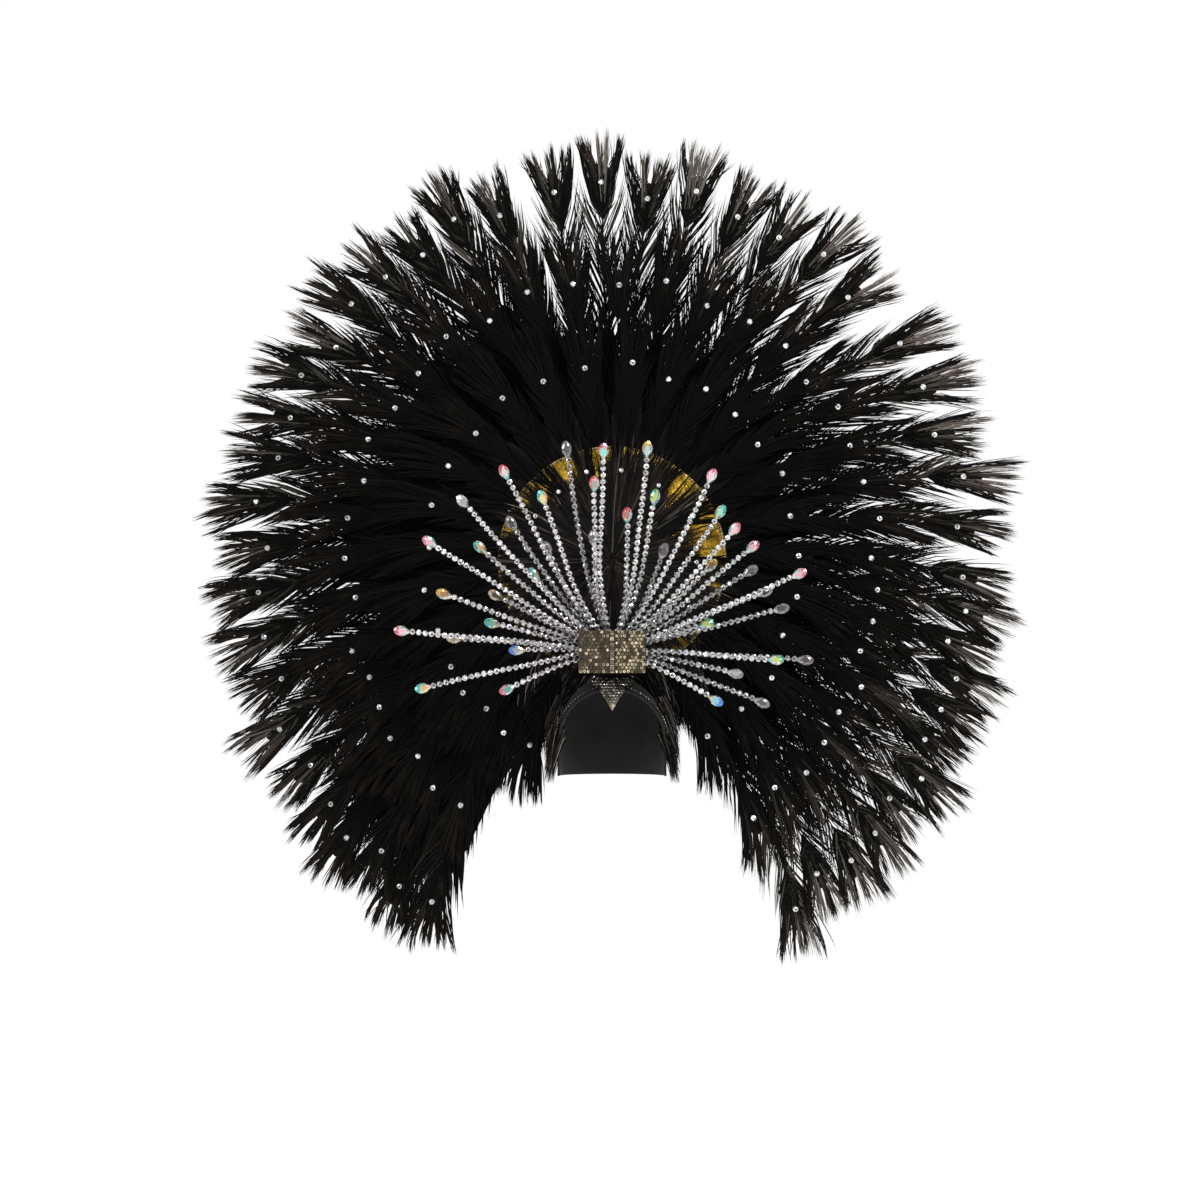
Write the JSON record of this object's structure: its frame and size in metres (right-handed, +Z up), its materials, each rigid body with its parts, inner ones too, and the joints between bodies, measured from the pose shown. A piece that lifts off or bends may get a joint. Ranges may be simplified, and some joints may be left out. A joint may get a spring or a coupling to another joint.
{
  "type": "carnival feather headdress",
  "caption": "Stage headdress: a cap that carries a round fan of black dyed peacock eye feathers, a gold board and a spray of stone covered stalks.",
  "frame": {"origin": "the middle of the crown of the head, where it meets the inside of the cap", "axes": "+Z up, -Y the side that faces the viewer, +X to the viewer's right"},
  "size_m": [1.1586, 0.2699, 1.1858],
  "materials": {
    "dyed_feather": "black dyed peacock feather with a faint brown tint",
    "cap_fabric": "black stretched fabric",
    "black_felt": "black felt",
    "clear_stone": "clear foil backed cut stones in silver cups",
    "pear_stone": "iridescent pear cut stones",
    "champagne_stone": "champagne foil backed cut stones",
    "gold_foil": "metallised gold foil sheet",
    "frame_metal": "black painted steel bar"
  },
  "bodies": {
    "root": {"back_board": "black_felt", "board_bracket": "frame_metal", "brow_crest": "clear_stone", "cap_edge_trim": "clear_stone", "cap_shell": "cap_fabric", "centre_ridge": "champagne_stone", "crest_feathers": "dyed_feather", "gold_disc": "gold_foil", "inner_fan_left": "dyed_feather", "inner_fan_right": "dyed_feather", "middle_fan_left": "dyed_feather", "middle_fan_right": "dyed_feather", "middle_fan_top": "dyed_feather", "outer_fan_left": "dyed_feather", "outer_fan_right": "dyed_feather", "outer_fan_top": "dyed_feather", "pave_panel_left": "champagne_stone", "pave_panel_right": "champagne_stone", "side_tuft_left": "dyed_feather", "side_tuft_right": "dyed_feather", "spray_base": "black_felt", "stalk_left_01": "clear_stone", "stalk_left_02": "clear_stone", "stalk_left_03": "clear_stone", "stalk_left_04": "clear_stone", "stalk_left_05": "clear_stone", "stalk_left_06": "clear_stone", "stalk_left_07": "clear_stone", "stalk_left_08": "clear_stone", "stalk_left_09": "clear_stone", "stalk_left_10": "clear_stone", "stalk_left_11": "clear_stone", "stalk_left_12": "clear_stone", "stalk_left_13": "clear_stone", "stalk_left_14": "clear_stone", "stalk_left_15": "clear_stone", "stalk_left_16": "clear_stone", "stalk_left_17": "clear_stone", "stalk_left_18": "clear_stone", "stalk_left_19": "clear_stone", "stalk_left_20": "clear_stone", "stalk_right_01": "clear_stone", "stalk_right_02": "clear_stone", "stalk_right_03": "clear_stone", "stalk_right_04": "clear_stone", "stalk_right_05": "clear_stone", "stalk_right_06": "clear_stone", "stalk_right_07": "clear_stone", "stalk_right_08": "clear_stone", "stalk_right_09": "clear_stone", "stalk_right_10": "clear_stone", "stalk_right_11": "clear_stone", "stalk_right_12": "clear_stone", "stalk_right_13": "clear_stone", "stalk_right_14": "clear_stone", "stalk_right_15": "clear_stone", "stalk_right_16": "clear_stone", "stalk_right_17": "clear_stone", "stalk_right_18": "clear_stone", "stalk_right_19": "clear_stone"}
  },
  "joints": []
}
